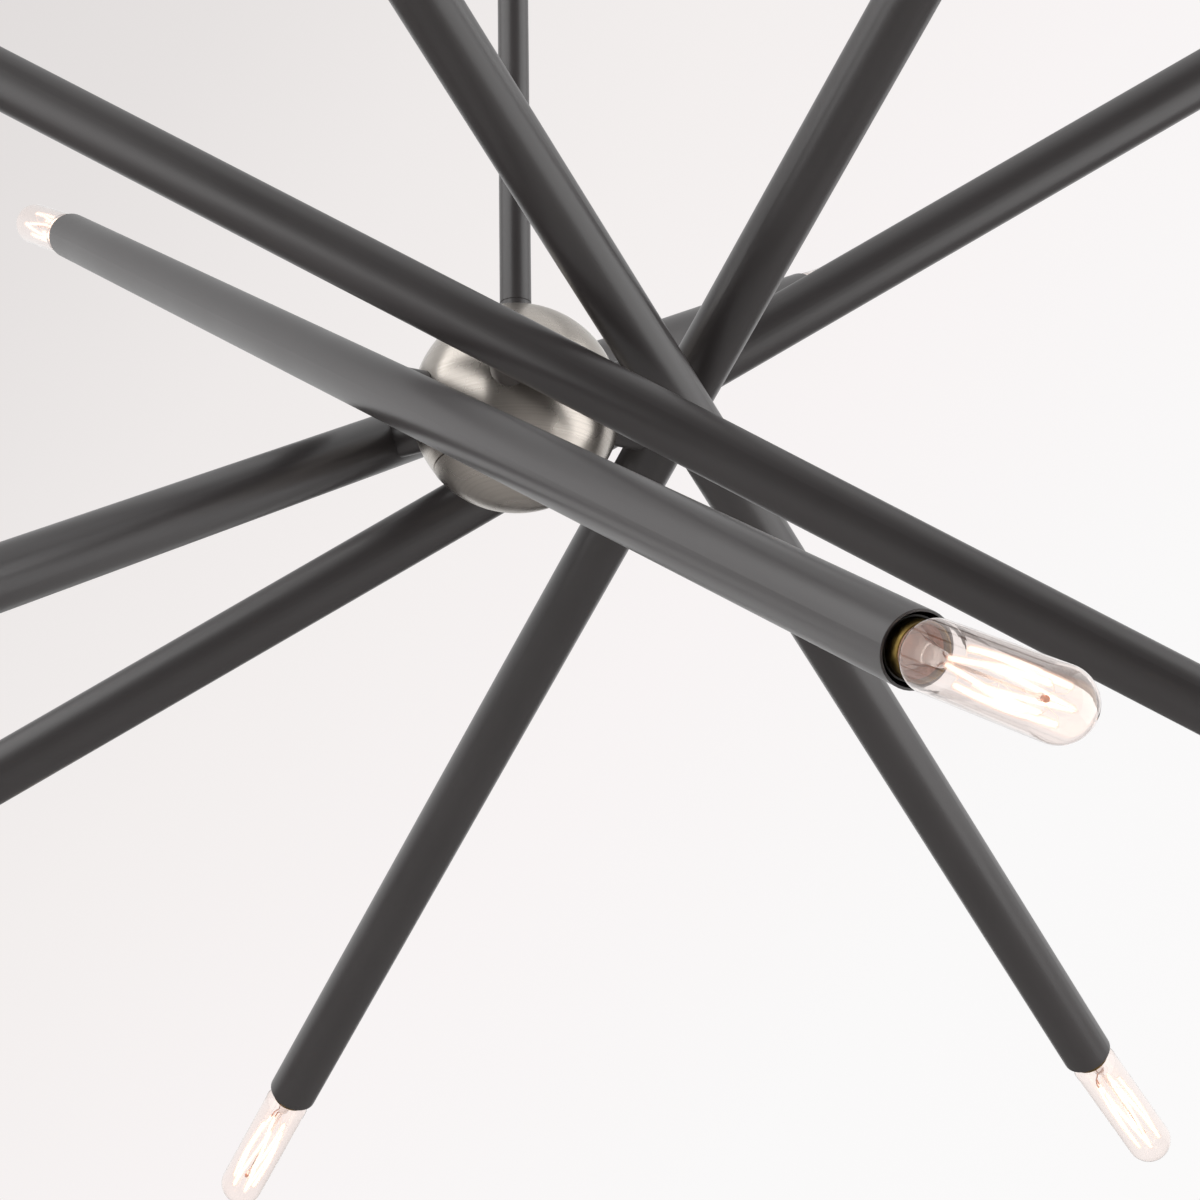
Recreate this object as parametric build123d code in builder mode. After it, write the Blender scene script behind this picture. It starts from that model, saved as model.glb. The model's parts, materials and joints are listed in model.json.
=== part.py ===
from build123d import *
from math import cos, radians, sin, sqrt, tan
import os

# Sputnik chandelier. Six long tubes stand off a ball on short bosses, each
# tilted the same way about its boss, with a lamp in both ends of each tube.
# Millimetres. Z is up, the ceiling is the plane Z = 0, and the chandelier
# hangs below it on a stem of two rods and a swivel.

# How far a cut runs past the surface it opens
CUT_MARGIN = 1.0

# Tubes and their layout round the ball
TUBE_R = 17.5
TUBE_WALL = 1.2
TUBE_LENGTH = 1310.0
TUBE_END_CHAMFER = 0.25
TUBE_AXIS_R = 101.0
TUBE_AZIMUTH = {"a": -150.0, "b": -90.0, "c": -30.0, "d": 30.0, "e": 90.0, "f": 150.0}
TUBE_TILT = {"a": 30.9, "b": 30.8, "c": 29.0, "d": 28.6, "e": 30.4, "f": 29.1}
TUBE_BORE_R = TUBE_R - TUBE_WALL

# Ball, bottom cap and nuts
BALL_R = 63.7
BALL_WALL = 2.0
BALL_LIP_R = 62.6
BALL_LIP_DEPTH = 44.0
BALL_HOLE_DEPTH = 10.0
CAP_R = 64.0
CAP_WALL = 1.0
CAP_RIM_DEPTH = 39.8
CAP_EDGE = 0.25
CAP_SEAM = 0.6
NUT_ACROSS_FLATS = 17.0
NUT_HEIGHT = 6.5
NUT_CROWN = 1.0

# Bosses with their hollow shanks and spigots
BOSS_R = 12.0
BOSS_SEAT_GAP = 0.3
BOSS_ROOT_DEPTH = 4.0
BOSS_SADDLE_EXTRA = 0.5
SHANK_R = 5.0
SHANK_BORE_R = 3.5
SHANK_RUNNING = 0.08
SHANK_INNER_R = 51.0
SPIGOT_R = 7.5
SPIGOT_REACH = 5.5
SPIGOT_ROOT = 8.0

# Stem
STEM_R = 9.75
STEM_BORE_R = 8.25
ROD_LENGTH = 355.0
ROD_EDGE = 0.35
COLLAR_TOP = 69.0
SPIGOT_IN_ROD = 12.0
COUPLER_LENGTH = 26.0
COUPLER_BORE_R = 6.0
COLLAR_ROOT_DEPTH = 3.0

# Ceiling end: canopy, crossbar, hanger nipple, turret and knuckle
CANOPY_R = 63.5
CANOPY_DEPTH = 25.0
CANOPY_WALL = 1.2
CANOPY_CORNER = 7.0
CANOPY_HOLE_R = 6.0
STRAP_HALF = 60.0
STRAP_WIDTH = 20.0
STRAP_T = 2.0
STRAP_DROP = 8.0
BEND_IN = 16.0
BEND_OUT = 22.0
BEND_SHIFT = 1.0
EAR_DROP = 16.0
SLOT_SPACING = 79.4
SLOT_LENGTH = 24.0
SLOT_R = 2.5
SIDE_SCREW_Z = -10.0
SIDE_SCREW_R = 2.0
KNOB_R = 4.5
KNOB_LENGTH = 6.0
KNOB_EDGE = 0.8
SIDE_SCREW_LENGTH = 9.0
SIDE_HOLE_CLEARANCE = 0.3
NIPPLE_BORE_R = 3.4
NIPPLE_TOP_Z = -3.0
NIPPLE_NUT_HEIGHT = 4.5
FLANGE_R = 7.6
FLANGE_T = 2.4
FLANGE_PLAY = 0.05
FLANGE_RADIAL_GAP = 0.4
FLANGE_POCKET = 4.0
TURRET_R = 15.0
TURRET_TOP_Z = -CANOPY_DEPTH - 0.3
TURRET_WEB_Z = -35.0
TURRET_BODY_Z = -47.5
TURRET_SLOT_HALF = 6.2
TURRET_SLOT_TOP_Z = -38.0
TURRET_EAR_HALF = 12.0
TURRET_EDGE = 0.8
PIVOT_Z = -50.0
PIVOT_R = 3.0
PIVOT_RUNNING = 0.05
EYE_R = 9.0
TONGUE_HALF_T = 5.9
TONGUE_HALF_W = 7.0
SHOULDER_Z = -61.0
SHOULDER_T = 3.0
LEAD_WAY_R = 2.6
LEAD_SIDE_HOLE_R = 2.4
LEAD_SIDE_HOLE_RISE = 3.5

# Lamps: every height is measured outwards from the tube's mouth
GLASS_R = 16.0
GLASS_NECK_R = 12.6
GLASS_WALL = 0.8
GLASS_START = 1.2
GLASS_NECK_END = 6.5
GLASS_SHOULDER_END = 13.5
GLASS_TIP = 122.0
BASE_R = 13.2
BASE_ROOT_R = 12.45
BASE_TOP = 6.0
BASE_INNER_R = 11.6
BASE_FLOOR = -15.0
BASE_PITCH = 3.63
BASE_THREADS = 4
BASE_THREAD_START = -1.2
INSULATOR_R = 9.5
INSULATOR_TOP = -18.6
CONTACT_TOP = -19.4
CONTACT_R = 4.8
CONTACT_SHOULDER = 0.8
CONTACT_END = -21.0

# Lampholders, and how far each visible lamp leans in its holder: degrees
# away from the boss, then degrees across it
HOLDER_R = 14.3
HOLDER_BORE_R = 13.5
HOLDER_MOUTH = -3.0
HOLDER_FLOOR = -21.4
HOLDER_BACK = -34.0
STUB_R = 5.0
STUB_IN_HOLDER = 3.0
DISC_FRONT = -42.0
DISC_BACK = -44.0
LEAD_HOLE_R = 1.8
LEAD_HOLE_OFFSET = 10.0
LAMP_LEAN = {"a_low": (0.2, -3.0), "a_high": (-0.5, -2.2), "c_low": (1.8, -1.5), "d_low": (-1.1, 2.1)}

STEM_TOP_Z = SHOULDER_Z - SHOULDER_T
ROD_JOINT_Z = STEM_TOP_Z - ROD_LENGTH
STEM_END_Z = ROD_JOINT_Z - ROD_LENGTH
HUB_Z = STEM_END_Z - COLLAR_TOP
HUB = Vector(0, 0, HUB_Z)
HUB_SECTION = Plane(origin=HUB, x_dir=(1, 0, 0), z_dir=(0, -1, 0))

os.makedirs("parts", exist_ok=True)


def save(part, name):
    part.label = name
    export_step(part, f"parts/{name}.step")


def on_circle(radius, depth):
    """The point of a half section where a sphere of this radius is this deep below its middle."""
    return (sqrt(radius**2 - depth**2), -depth)


def radial_direction(arm):
    angle = radians(TUBE_AZIMUTH[arm])
    return Vector(cos(angle), sin(angle), 0)


def radial_plane(arm, distance):
    """Plane square to an arm's boss, its origin that far from the ball's centre."""
    outward = radial_direction(arm)
    return Plane(origin=HUB + outward * distance, x_dir=(0, 0, 1), z_dir=outward)


def tube_plane(arm):
    """Plane across the middle of a tube: x points away from the ball, z to the low end."""
    outward = radial_direction(arm)
    tilt = radians(TUBE_TILT[arm])
    along = Vector(-outward.Y, outward.X, 0) * cos(tilt) - Vector(0, 0, sin(tilt))
    return Plane(origin=HUB + outward * TUBE_AXIS_R, x_dir=outward, z_dir=along)


def mouth_plane(arm, end):
    """Plane across a tube's mouth, its z pointing out of the tube."""
    middle = tube_plane(arm)
    along = middle.z_dir if end == "low" else middle.z_dir * -1
    return Plane(origin=middle.origin + along * (TUBE_LENGTH / 2), x_dir=middle.x_dir, z_dir=along)


def lamp_plane(arm, end):
    """The mouth's plane turned by the lean of its lamp."""
    mouth = mouth_plane(arm, end)
    away, across = LAMP_LEAN.get(f"{arm}_{end}", (0.0, 0.0))
    across_dir = mouth.z_dir.cross(mouth.x_dir)
    along = mouth.z_dir + mouth.x_dir * tan(radians(away)) + across_dir * tan(radians(across))
    along = along.normalized()
    x_dir = mouth.x_dir - along * mouth.x_dir.dot(along)
    return Plane(origin=mouth.origin, x_dir=x_dir.normalized(), z_dir=along)


def profile_plane(plane):
    """Sketch plane through a plane's z axis: sketch x is its x, sketch y its z."""
    return Plane(origin=plane.origin, x_dir=plane.x_dir, z_dir=plane.x_dir.cross(plane.z_dir))


def make_tube(arm):
    middle = tube_plane(arm)
    inward = Plane(origin=middle.origin, x_dir=(0, 0, 1), z_dir=middle.x_dir * -1)
    with BuildPart() as tube:
        with BuildSketch(middle.offset(-TUBE_LENGTH / 2)):
            Circle(TUBE_R)
            Circle(TUBE_BORE_R, mode=Mode.SUBTRACT)
        extrude(amount=TUBE_LENGTH)
        rims = tube.edges().filter_by(GeomType.CIRCLE).sort_by(SortBy.RADIUS)[-2:]
        chamfer(rims, TUBE_END_CHAMFER)
        # hole in the wall that faces the ball, for the boss's spigot
        with BuildSketch(inward):
            Circle(SPIGOT_R)
        extrude(amount=TUBE_R + CUT_MARGIN, mode=Mode.SUBTRACT)
    return tube.part


def make_boss(arm):
    spigot_end = TUBE_AXIS_R - TUBE_R + SPIGOT_REACH
    boss_end = TUBE_AXIS_R - sqrt(TUBE_R**2 - BOSS_R**2) + BOSS_SADDLE_EXTRA
    with BuildPart() as boss:
        with BuildSketch(radial_plane(arm, BALL_R - BOSS_ROOT_DEPTH)):
            Circle(BOSS_R)
        extrude(amount=boss_end - BALL_R + BOSS_ROOT_DEPTH)
        # spherical seat on the ball, and a saddle for the tube
        with Locations(HUB):
            Sphere(BALL_R + BOSS_SEAT_GAP, mode=Mode.SUBTRACT)
        with BuildSketch(tube_plane(arm).offset(-2 * TUBE_R)):
            Circle(TUBE_R)
        extrude(amount=4 * TUBE_R, mode=Mode.SUBTRACT)
        with BuildSketch(radial_plane(arm, BALL_R + SPIGOT_ROOT)):
            Circle(SPIGOT_R)
        extrude(amount=spigot_end - BALL_R - SPIGOT_ROOT)
        with BuildSketch(radial_plane(arm, SHANK_INNER_R)):
            Circle(SHANK_R)
        extrude(amount=BALL_R + SPIGOT_ROOT - SHANK_INNER_R)
        with BuildSketch(radial_plane(arm, SHANK_INNER_R - CUT_MARGIN)):
            Circle(SHANK_BORE_R)
        extrude(amount=spigot_end - SHANK_INNER_R + 2 * CUT_MARGIN, mode=Mode.SUBTRACT)
    return boss.part


def make_holders(arm):
    with BuildPart() as holders:
        for end in ("low", "high"):
            lamp = lamp_plane(arm, end)
            mouth = mouth_plane(arm, end)
            with BuildSketch(lamp.offset(HOLDER_BACK)):
                Circle(HOLDER_R)
            extrude(amount=HOLDER_MOUTH - HOLDER_BACK)
            with BuildSketch(mouth.offset(DISC_FRONT)):
                Circle(STUB_R)
            extrude(amount=HOLDER_BACK - DISC_FRONT + STUB_IN_HOLDER)
            with BuildSketch(mouth.offset(DISC_BACK)):
                Circle(TUBE_BORE_R)
                with GridLocations(2 * LEAD_HOLE_OFFSET, 0, 2, 1):
                    Circle(LEAD_HOLE_R, mode=Mode.SUBTRACT)
            extrude(amount=DISC_FRONT - DISC_BACK)
            with BuildSketch(lamp.offset(HOLDER_FLOOR)):
                Circle(HOLDER_BORE_R)
            extrude(amount=HOLDER_MOUTH - HOLDER_FLOOR + CUT_MARGIN, mode=Mode.SUBTRACT)
    return holders.part


def make_glass(arm, end):
    lamp = lamp_plane(arm, end)
    dome_start = GLASS_TIP - GLASS_R
    bend = (GLASS_NECK_END + GLASS_SHOULDER_END) / 2
    inner_r = GLASS_R - GLASS_WALL
    inner_neck_r = GLASS_NECK_R - GLASS_WALL
    with BuildPart() as glass:
        with BuildSketch(profile_plane(lamp)):
            with BuildLine():
                Line((inner_neck_r, GLASS_START), (GLASS_NECK_R, GLASS_START))
                Line((GLASS_NECK_R, GLASS_START), (GLASS_NECK_R, GLASS_NECK_END))
                Bezier((GLASS_NECK_R, GLASS_NECK_END), (GLASS_NECK_R, bend),
                       (GLASS_R, bend), (GLASS_R, GLASS_SHOULDER_END))
                Line((GLASS_R, GLASS_SHOULDER_END), (GLASS_R, dome_start))
                CenterArc((0, dome_start), GLASS_R, 0, 90)
                Line((0, GLASS_TIP), (0, GLASS_TIP - GLASS_WALL))
                CenterArc((0, dome_start), inner_r, 0, 90)
                Line((inner_r, dome_start), (inner_r, GLASS_SHOULDER_END))
                Bezier((inner_r, GLASS_SHOULDER_END), (inner_r, bend),
                       (inner_neck_r, bend), (inner_neck_r, GLASS_NECK_END))
                Line((inner_neck_r, GLASS_NECK_END), (inner_neck_r, GLASS_START))
            make_face()
        revolve(axis=Axis(lamp.origin, lamp.z_dir))
    return glass.part


def make_base(arm, end):
    lamp = lamp_plane(arm, end)
    points = [(0, BASE_FLOOR), (BASE_INNER_R, BASE_FLOOR), (BASE_INNER_R, GLASS_START)]
    points += [(GLASS_NECK_R, GLASS_START), (GLASS_NECK_R, BASE_TOP)]
    points += [(BASE_R, BASE_TOP), (BASE_R, BASE_THREAD_START)]
    for turn in range(BASE_THREADS):
        crest = BASE_THREAD_START - turn * BASE_PITCH
        points += [(BASE_ROOT_R, crest - BASE_PITCH / 2), (BASE_R, crest - BASE_PITCH)]
    points += [(INSULATOR_R, INSULATOR_TOP), (CONTACT_R + CONTACT_SHOULDER, CONTACT_TOP)]
    points += [(CONTACT_R, CONTACT_END), (0, CONTACT_END)]
    with BuildPart() as base:
        with BuildSketch(profile_plane(lamp)):
            with BuildLine():
                Polyline(*points, close=True)
            make_face()
        revolve(axis=Axis(lamp.origin, lamp.z_dir))
    return base.part


for arm in TUBE_AZIMUTH:
    save(make_tube(arm), f"tube_{arm}")
    save(make_boss(arm), f"boss_{arm}")
    save(make_holders(arm), f"holders_{arm}")
    for end in ("low", "high"):
        save(make_glass(arm, end), f"glass_{arm}_{end}")
        save(make_base(arm, end), f"base_{arm}_{end}")

# Hollow ball with holes for the six shanks and the stem's shank. Below its
# shoulder a thinner lip runs down to the open end.
with BuildPart() as hub_ball:
    ball_inner_r = BALL_R - BALL_WALL
    shoulder_depth = CAP_RIM_DEPTH - CAP_SEAM
    shoulder = on_circle(BALL_R, shoulder_depth)
    lip_root = on_circle(BALL_LIP_R, shoulder_depth)
    lip_outer = on_circle(BALL_LIP_R, BALL_LIP_DEPTH)
    lip_inner = on_circle(ball_inner_r, BALL_LIP_DEPTH)
    with BuildSketch(HUB_SECTION):
        with BuildLine():
            ThreePointArc((0, BALL_R), (BALL_R, 0), shoulder)
            Line(shoulder, lip_root)
            RadiusArc(lip_root, lip_outer, BALL_LIP_R)
            Line(lip_outer, lip_inner)
            ThreePointArc(lip_inner, (ball_inner_r, 0), (0, ball_inner_r))
            Line((0, ball_inner_r), (0, BALL_R))
        make_face()
    revolve(axis=Axis.Z)
    for arm in TUBE_AZIMUTH:
        with BuildSketch(radial_plane(arm, BALL_R - BALL_HOLE_DEPTH)):
            Circle(SHANK_R + SHANK_RUNNING)
        extrude(amount=2 * BALL_HOLE_DEPTH, mode=Mode.SUBTRACT)
    with BuildSketch(Plane.XY.offset(HUB_Z + BALL_R - BALL_HOLE_DEPTH)):
        Circle(SHANK_R)
    extrude(amount=2 * BALL_HOLE_DEPTH, mode=Mode.SUBTRACT)
save(hub_ball.part, "hub_ball")

# Bottom cap: a thin dome that slips over the ball's lip and carries on its
# round, with a narrow seam left above its rim
with BuildPart() as bottom_cap:
    cap_inner_r = CAP_R - CAP_WALL
    edge = on_circle(CAP_R, CAP_RIM_DEPTH + CAP_EDGE)
    rim_outer = (edge[0] - CAP_EDGE, -CAP_RIM_DEPTH)
    rim_inner = on_circle(cap_inner_r, CAP_RIM_DEPTH)
    with BuildSketch(HUB_SECTION):
        with BuildLine():
            RadiusArc((0, -CAP_R), edge, -CAP_R)
            Polyline(edge, rim_outer, rim_inner)
            RadiusArc(rim_inner, (0, -cap_inner_r), cap_inner_r)
            Line((0, -cap_inner_r), (0, -CAP_R))
        make_face()
    revolve(axis=Axis.Z)
save(bottom_cap.part, "bottom_cap")

# Seven lock nuts inside the ball: domed to its wall, free on the six boss
# shanks and tight on the stem's shank
with BuildPart() as hub_nuts:
    for arm in TUBE_AZIMUTH:
        with BuildSketch(radial_plane(arm, BALL_R - BALL_WALL - NUT_HEIGHT)):
            RegularPolygon(NUT_ACROSS_FLATS / 2, 6, major_radius=False)
            Circle(SHANK_R + SHANK_RUNNING, mode=Mode.SUBTRACT)
        extrude(amount=NUT_HEIGHT + NUT_CROWN)
    with BuildSketch(Plane.XY.offset(HUB_Z + BALL_R - BALL_WALL - NUT_HEIGHT)):
        RegularPolygon(NUT_ACROSS_FLATS / 2, 6, major_radius=False)
        Circle(SHANK_R, mode=Mode.SUBTRACT)
    extrude(amount=NUT_HEIGHT + NUT_CROWN)
    with Locations(HUB):
        Sphere(BALL_R - BALL_WALL, mode=Mode.INTERSECT)
save(hub_nuts.part, "hub_nuts")

# Collar: the stem's foot on the ball, with a spigot up and a shank down
with BuildPart() as hub_collar:
    with BuildSketch(Plane.XY.offset(HUB_Z + BALL_R - COLLAR_ROOT_DEPTH)):
        Circle(STEM_R)
    extrude(amount=COLLAR_TOP - BALL_R + COLLAR_ROOT_DEPTH)
    chamfer(hub_collar.edges().sort_by(Axis.Z)[-1], ROD_EDGE)
    with Locations(HUB):
        Sphere(BALL_R, mode=Mode.SUBTRACT)
    with BuildSketch(Plane.XY.offset(STEM_END_Z - ROD_EDGE)):
        Circle(STEM_BORE_R)
    extrude(amount=SPIGOT_IN_ROD + ROD_EDGE)
    with BuildSketch(Plane.XY.offset(HUB_Z + SHANK_INNER_R)):
        Circle(SHANK_R)
    extrude(amount=COLLAR_TOP - SHANK_INNER_R)
    with BuildSketch(Plane.XY.offset(HUB_Z + SHANK_INNER_R)):
        Circle(SHANK_BORE_R)
    extrude(amount=COLLAR_TOP - SHANK_INNER_R + SPIGOT_IN_ROD, mode=Mode.SUBTRACT)
save(hub_collar.part, "hub_collar")

# The two rods of the stem meet end to end on a hidden coupler
with BuildPart() as stem_lower:
    with BuildSketch(Plane.XY.offset(STEM_END_Z)):
        Circle(STEM_R)
        Circle(STEM_BORE_R, mode=Mode.SUBTRACT)
    extrude(amount=ROD_LENGTH)
    chamfer(stem_lower.edges().filter_by(GeomType.CIRCLE).sort_by(SortBy.RADIUS)[-2:], ROD_EDGE)
save(stem_lower.part, "stem_lower")

with BuildPart() as stem_upper:
    with BuildSketch(Plane.XY.offset(ROD_JOINT_Z)):
        Circle(STEM_R)
        Circle(STEM_BORE_R, mode=Mode.SUBTRACT)
    extrude(amount=ROD_LENGTH)
    chamfer(stem_upper.edges().filter_by(GeomType.CIRCLE).sort_by(SortBy.RADIUS)[-2:], ROD_EDGE)
save(stem_upper.part, "stem_upper")

with BuildPart() as stem_coupler:
    with BuildSketch(Plane.XY.offset(ROD_JOINT_Z - COUPLER_LENGTH / 2)):
        Circle(STEM_BORE_R)
        Circle(COUPLER_BORE_R, mode=Mode.SUBTRACT)
    extrude(amount=COUPLER_LENGTH)
save(stem_coupler.part, "stem_coupler")

# Knuckle: eye and tongue in the turret's slot, shoulder and spigot in the stem
with BuildPart() as stem_knuckle:
    with BuildSketch(Plane.XZ):
        with Locations((0, PIVOT_Z)):
            Circle(EYE_R)
        with Locations((0, (PIVOT_Z + SHOULDER_Z) / 2)):
            Rectangle(2 * TONGUE_HALF_W, PIVOT_Z - SHOULDER_Z)
    extrude(amount=TONGUE_HALF_T, both=True)
    with BuildSketch(Plane.XY.offset(STEM_TOP_Z)):
        Circle(STEM_R)
    extrude(amount=SHOULDER_T)
    chamfer(stem_knuckle.faces().sort_by(Axis.Z)[0].edges(), ROD_EDGE)
    with BuildSketch(Plane.XY.offset(STEM_TOP_Z)):
        Circle(STEM_BORE_R)
    extrude(amount=-SPIGOT_IN_ROD)
    with BuildSketch(Plane.XZ):
        with Locations((0, PIVOT_Z)):
            Circle(PIVOT_R + PIVOT_RUNNING)
    extrude(amount=STEM_R, both=True, mode=Mode.SUBTRACT)
    # the leads enter at the side of the tongue and leave down the stem
    with BuildSketch(Plane.XY.offset(STEM_TOP_Z - SPIGOT_IN_ROD)):
        Circle(LEAD_WAY_R)
    extrude(amount=SPIGOT_IN_ROD + SHOULDER_T + LEAD_SIDE_HOLE_RISE, mode=Mode.SUBTRACT)
    with BuildSketch(Plane.YZ):
        with Locations((0, SHOULDER_Z + LEAD_SIDE_HOLE_RISE)):
            Circle(LEAD_SIDE_HOLE_R)
    extrude(amount=STEM_R, mode=Mode.SUBTRACT)
save(stem_knuckle.part, "stem_knuckle")

# Turret: turns on the hanger nipple, its two ears carry the pivot pin
with BuildPart() as swivel_turret:
    with BuildSketch(Plane.XY.offset(TURRET_TOP_Z)):
        Circle(TURRET_R)
    extrude(amount=TURRET_BODY_Z - TURRET_TOP_Z)
    chamfer(swivel_turret.edges().filter_by(GeomType.CIRCLE).sort_by(Axis.Z)[-1], TURRET_EDGE)
    with BuildSketch(Plane.XZ):
        with Locations((0, PIVOT_Z)):
            Circle(EYE_R)
            with Locations((0, EYE_R / 2)):
                Rectangle(2 * EYE_R, EYE_R)
    extrude(amount=TURRET_EAR_HALF, both=True)
    with BuildSketch(Plane.XY.offset(TURRET_WEB_Z)):
        Circle(FLANGE_R + FLANGE_RADIAL_GAP)
    extrude(amount=-FLANGE_POCKET, mode=Mode.SUBTRACT)
    with BuildSketch(Plane.XY.offset(TURRET_SLOT_TOP_Z)):
        Rectangle(2 * TURRET_R, 2 * TURRET_SLOT_HALF)
    extrude(amount=-2 * TURRET_R, mode=Mode.SUBTRACT)
    with BuildSketch(Plane.XY.offset(TURRET_TOP_Z)):
        Circle(SHANK_R + SHANK_RUNNING)
    extrude(amount=TURRET_WEB_Z - TURRET_TOP_Z, mode=Mode.SUBTRACT)
    with BuildSketch(Plane.XZ):
        with Locations((0, PIVOT_Z)):
            Circle(PIVOT_R)
    extrude(amount=TURRET_R, both=True, mode=Mode.SUBTRACT)
save(swivel_turret.part, "swivel_turret")

with BuildPart() as pivot_pin:
    with BuildSketch(Plane.XZ):
        with Locations((0, PIVOT_Z)):
            Circle(PIVOT_R)
    extrude(amount=TURRET_EAR_HALF, both=True)
save(pivot_pin.part, "pivot_pin")

# Hanger nipple: hollow, threaded into two nuts on the crossbar, flanged below
with BuildPart() as hanger_nipple:
    flange_top = TURRET_WEB_Z - FLANGE_PLAY
    with BuildSketch(Plane.XY.offset(NIPPLE_TOP_Z)):
        Circle(SHANK_R)
    extrude(amount=flange_top - NIPPLE_TOP_Z)
    with BuildSketch(Plane.XY.offset(flange_top)):
        Circle(FLANGE_R)
    extrude(amount=-FLANGE_T)
    with BuildSketch(Plane.XY.offset(NIPPLE_TOP_Z)):
        Circle(NIPPLE_BORE_R)
    extrude(amount=flange_top - FLANGE_T - NIPPLE_TOP_Z, mode=Mode.SUBTRACT)
save(hanger_nipple.part, "hanger_nipple")

with BuildPart() as nipple_nuts:
    for bottom in (-STRAP_DROP, -STRAP_DROP - STRAP_T - NIPPLE_NUT_HEIGHT):
        with BuildSketch(Plane.XY.offset(bottom)):
            RegularPolygon(NUT_ACROSS_FLATS / 2, 6, major_radius=False)
            Circle(SHANK_R, mode=Mode.SUBTRACT)
        extrude(amount=NIPPLE_NUT_HEIGHT)
save(nipple_nuts.part, "nipple_nuts")

# Crossbar: a bent strap, slotted for the ceiling box, with an ear at each end
with BuildPart() as crossbar:
    # right half of the strap's side view, along its top, round the ear and back
    half = [(BEND_IN, -STRAP_DROP), (BEND_OUT, 0), (STRAP_HALF, 0), (STRAP_HALF, -EAR_DROP)]
    half += [(STRAP_HALF - STRAP_T, -EAR_DROP), (STRAP_HALF - STRAP_T, -STRAP_T)]
    half += [(BEND_OUT + BEND_SHIFT, -STRAP_T), (BEND_IN + BEND_SHIFT, -STRAP_DROP - STRAP_T)]
    with BuildSketch(Plane.XZ):
        with BuildLine():
            Polyline(*half, *[(-x, z) for x, z in reversed(half)], close=True)
        make_face()
    extrude(amount=STRAP_WIDTH / 2, both=True)
    with BuildSketch(Plane.XY):
        with GridLocations(SLOT_SPACING, 0, 2, 1):
            SlotOverall(SLOT_LENGTH, 2 * SLOT_R)
        Circle(SHANK_R)
    extrude(amount=-EAR_DROP, mode=Mode.SUBTRACT)
    with BuildSketch(Plane.YZ):
        with Locations((0, SIDE_SCREW_Z)):
            Circle(SIDE_SCREW_R)
    extrude(amount=STRAP_HALF + CUT_MARGIN, both=True, mode=Mode.SUBTRACT)
save(crossbar.part, "crossbar")

# Canopy: a shallow round pan with a hole for the nipple and two side holes
with BuildPart() as canopy:
    with BuildSketch(Plane.XY):
        Circle(CANOPY_R)
    extrude(amount=-CANOPY_DEPTH)
    fillet(canopy.edges().sort_by(Axis.Z)[0], CANOPY_CORNER)
    offset(amount=-CANOPY_WALL, openings=canopy.faces().sort_by(Axis.Z)[-1])
    with BuildSketch(Plane.XY):
        Circle(CANOPY_HOLE_R)
    extrude(amount=-CANOPY_DEPTH - CUT_MARGIN, mode=Mode.SUBTRACT)
    with BuildSketch(Plane.YZ):
        with Locations((0, SIDE_SCREW_Z)):
            Circle(SIDE_SCREW_R + SIDE_HOLE_CLEARANCE)
    extrude(amount=CANOPY_R + CUT_MARGIN, both=True, mode=Mode.SUBTRACT)
save(canopy.part, "canopy")

with BuildPart() as canopy_screws:
    for side in (1, -1):
        with BuildSketch(Plane.YZ.offset(side * CANOPY_R)):
            with Locations((0, SIDE_SCREW_Z)):
                Circle(KNOB_R)
        extrude(amount=side * KNOB_LENGTH)
        with BuildSketch(Plane.YZ.offset(side * CANOPY_R)):
            with Locations((0, SIDE_SCREW_Z)):
                Circle(SIDE_SCREW_R)
        extrude(amount=-side * SIDE_SCREW_LENGTH)
    for outer_edge in (0, -1):
        rounds = canopy_screws.edges().filter_by(GeomType.CIRCLE).sort_by(Axis.X)
        chamfer(rounds[outer_edge], KNOB_EDGE)
save(canopy_screws.part, "canopy_screws")
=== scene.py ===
"""Looks of the sputnik chandelier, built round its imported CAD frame.

Lengths are in metres, except in the lamp's pieces. These are drawn in millimetres in a lamp's own
frame: its origin lies in the plane of the tube's mouth, and its z runs out of the mouth.
"""

import json
import math

import bmesh
import bpy
from mathutils import Matrix, Vector


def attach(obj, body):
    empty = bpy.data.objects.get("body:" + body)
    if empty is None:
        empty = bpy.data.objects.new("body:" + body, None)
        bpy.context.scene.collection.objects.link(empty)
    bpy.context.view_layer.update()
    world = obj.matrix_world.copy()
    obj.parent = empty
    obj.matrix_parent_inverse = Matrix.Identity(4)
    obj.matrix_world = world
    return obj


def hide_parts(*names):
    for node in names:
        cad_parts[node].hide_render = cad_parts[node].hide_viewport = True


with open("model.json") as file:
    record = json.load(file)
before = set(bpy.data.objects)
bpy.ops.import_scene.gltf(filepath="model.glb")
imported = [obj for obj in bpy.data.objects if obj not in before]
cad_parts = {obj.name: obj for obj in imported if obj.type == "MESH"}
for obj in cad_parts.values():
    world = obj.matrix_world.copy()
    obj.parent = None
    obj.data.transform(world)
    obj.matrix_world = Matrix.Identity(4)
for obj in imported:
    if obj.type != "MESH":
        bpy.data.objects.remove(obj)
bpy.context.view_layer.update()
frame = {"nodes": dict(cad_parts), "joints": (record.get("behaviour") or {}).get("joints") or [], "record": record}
nodes = frame["nodes"]
joints = {joint["name"]: joint for joint in frame["joints"]}

MM = 0.001
# The arms turn about level axes through the ball's centre
HUB_Z = joints["arm_turn_a"]["pos_m"][2]
TUBE_LENGTH = 1.310
TUBE_TILT = {"a": 30.9, "b": 30.8, "c": 29.0, "d": 28.6, "e": 30.4, "f": 29.1}


# ---------------------------------------------------------------- helpers

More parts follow.
